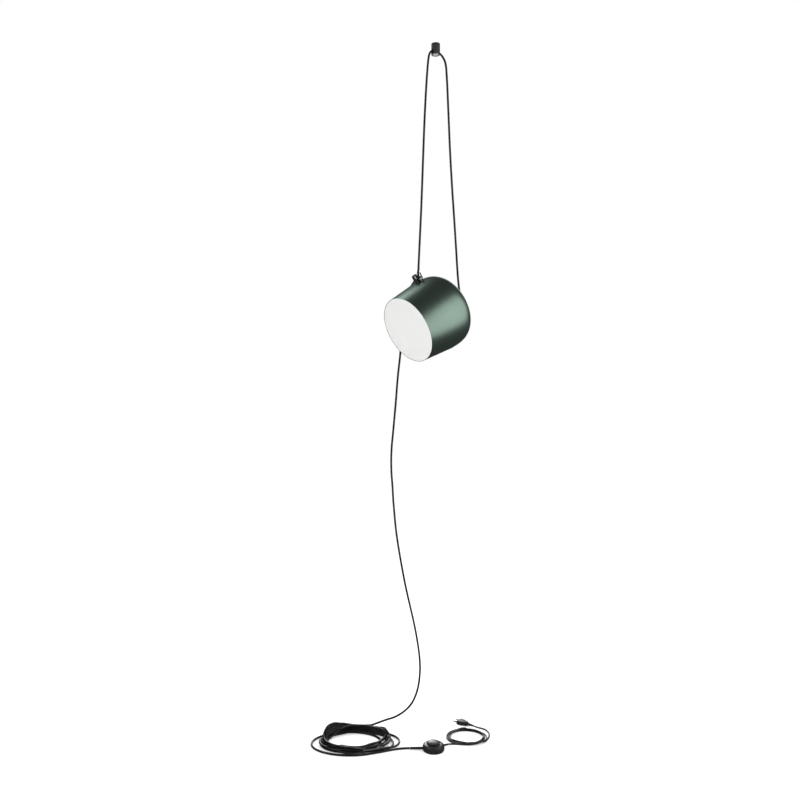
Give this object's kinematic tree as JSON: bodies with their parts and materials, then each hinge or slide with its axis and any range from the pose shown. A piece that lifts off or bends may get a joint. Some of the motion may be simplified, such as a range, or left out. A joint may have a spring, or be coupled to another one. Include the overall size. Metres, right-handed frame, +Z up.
{
  "type": "adjustable cord-hung spot lamp",
  "caption": "Round pot-shaped spot lamp on a cord loop under a ceiling hook, with opal front, slotted cord clamp, foot dimmer and plug.",
  "frame": {"origin": "middle of the ceiling hook's top face, where it meets the ceiling", "axes": "+Z up out of the ceiling face; the lamp head faces towards -X and -Y and hangs below; the floor is 2.298 m below the origin"},
  "size_m": [0.6029, 0.3818, 2.298],
  "materials": {
    "anodised_green": "satin anodised, grey-green",
    "opal_acrylic": "opal, satin",
    "white_plastic": "satin moulded",
    "charcoal_metal": "powder coated, charcoal",
    "black_metal": "gloss black lacquer",
    "grey_metal": "brushed",
    "steel": "zinc plated",
    "brass": "nickel plated brass, worn",
    "aluminium": "cast, natural",
    "black_plastic": "fine moulded texture",
    "grey_plastic": "moulded",
    "cord_black": "satin PVC sheath",
    "black_rubber": "soft moulded",
    "circuit_board": "solder mask",
    "led_phosphor": "matt phosphor"
  },
  "bodies": {
    "ceiling_and_floor": {"hook_flange": "charcoal_metal", "hook_screw_1": "steel", "hook_screw_2": "steel", "cord_drop_lower": "cord_black", "cord_coil": "cord_black", "cord_switch_lead": "cord_black", "lamp_side_relief": "black_rubber", "mains_side_relief": "black_rubber", "switch_foot_ring": "black_rubber", "switch_base": "black_plastic", "switch_cover": "black_plastic", "switch_screw_1": "steel", "switch_screw_2": "steel", "switch_board": "circuit_board", "switch_module": "grey_plastic", "switch_spring": "steel", "mains_lead_in": "cord_black", "mains_coil": "cord_black", "mains_lead_tail": "cord_black", "plug_body": "black_plastic", "plug_pin_1": "steel", "plug_pin_2": "steel", "plug_relief": "black_rubber"},
    "hook_turn": {"hook_body": "charcoal_metal", "hook_end_cap": "grey_metal", "hook_grub_screw": "steel"},
    "cord_loop": {"cord_front_strand": "cord_black", "cord_rear_strand": "cord_black", "cord_drop_upper": "cord_black"},
    "lamp_head": {"shade": "anodised_green", "diffuser": "opal_acrylic", "diffuser_ring": "white_plastic", "reflector": "white_plastic", "led_module": "led_phosphor", "led_board": "aluminium", "heat_sink": "aluminium", "support_ring": "steel", "frame_screw_1": "steel", "frame_screw_2": "steel", "frame_screw_3": "steel", "driver_tray": "steel", "driver_case": "black_plastic", "driver_board": "circuit_board", "driver_lid": "black_plastic", "terminal_block": "white_plastic", "rear_gland": "black_metal", "gland_nut": "brass", "cord_stop": "grey_plastic", "gland_boot": "black_rubber", "inner_cord": "cord_black", "clamp_neck": "black_metal", "clamp_fork": "black_metal", "clamp_pad": "black_rubber", "clamp_stud": "steel", "clamp_washer": "steel", "clamp_nut": "steel"},
    "dimmer_button": {"switch_button": "black_plastic", "switch_plunger": "grey_plastic"}
  },
  "joints": [
    {"name": "hook_swivel", "type": "hinge", "parent": "ceiling_and_floor", "child": "hook_turn", "pos_m": [0, 0, -0.0095], "axis": [0, 0, 1], "range_deg": [-90, 90]},
    {"name": "loop_swing", "type": "hinge", "parent": "hook_turn", "child": "cord_loop", "pos_m": [0, 0, -0.0265], "axis": [0.8146, 0.58, 0], "range_deg": [-15, 15]},
    {"name": "head_tilt", "type": "hinge", "parent": "cord_loop", "child": "lamp_head", "pos_m": [-0.0571, -0.0366, -0.754], "axis": [-0.58, 0.8146, 0], "range_deg": [-20, 20], "deforming": ["cord_rear_strand", "cord_drop_upper", "cord_front_strand"]},
    {"name": "button_press", "type": "slide", "parent": "ceiling_and_floor", "child": "dimmer_button", "axis": [0, 0, -1], "range_m": [0, 0.003], "stiffness_N_per_m": 400, "springref_m": -0.0005, "deforming": ["switch_spring"]}
  ]
}
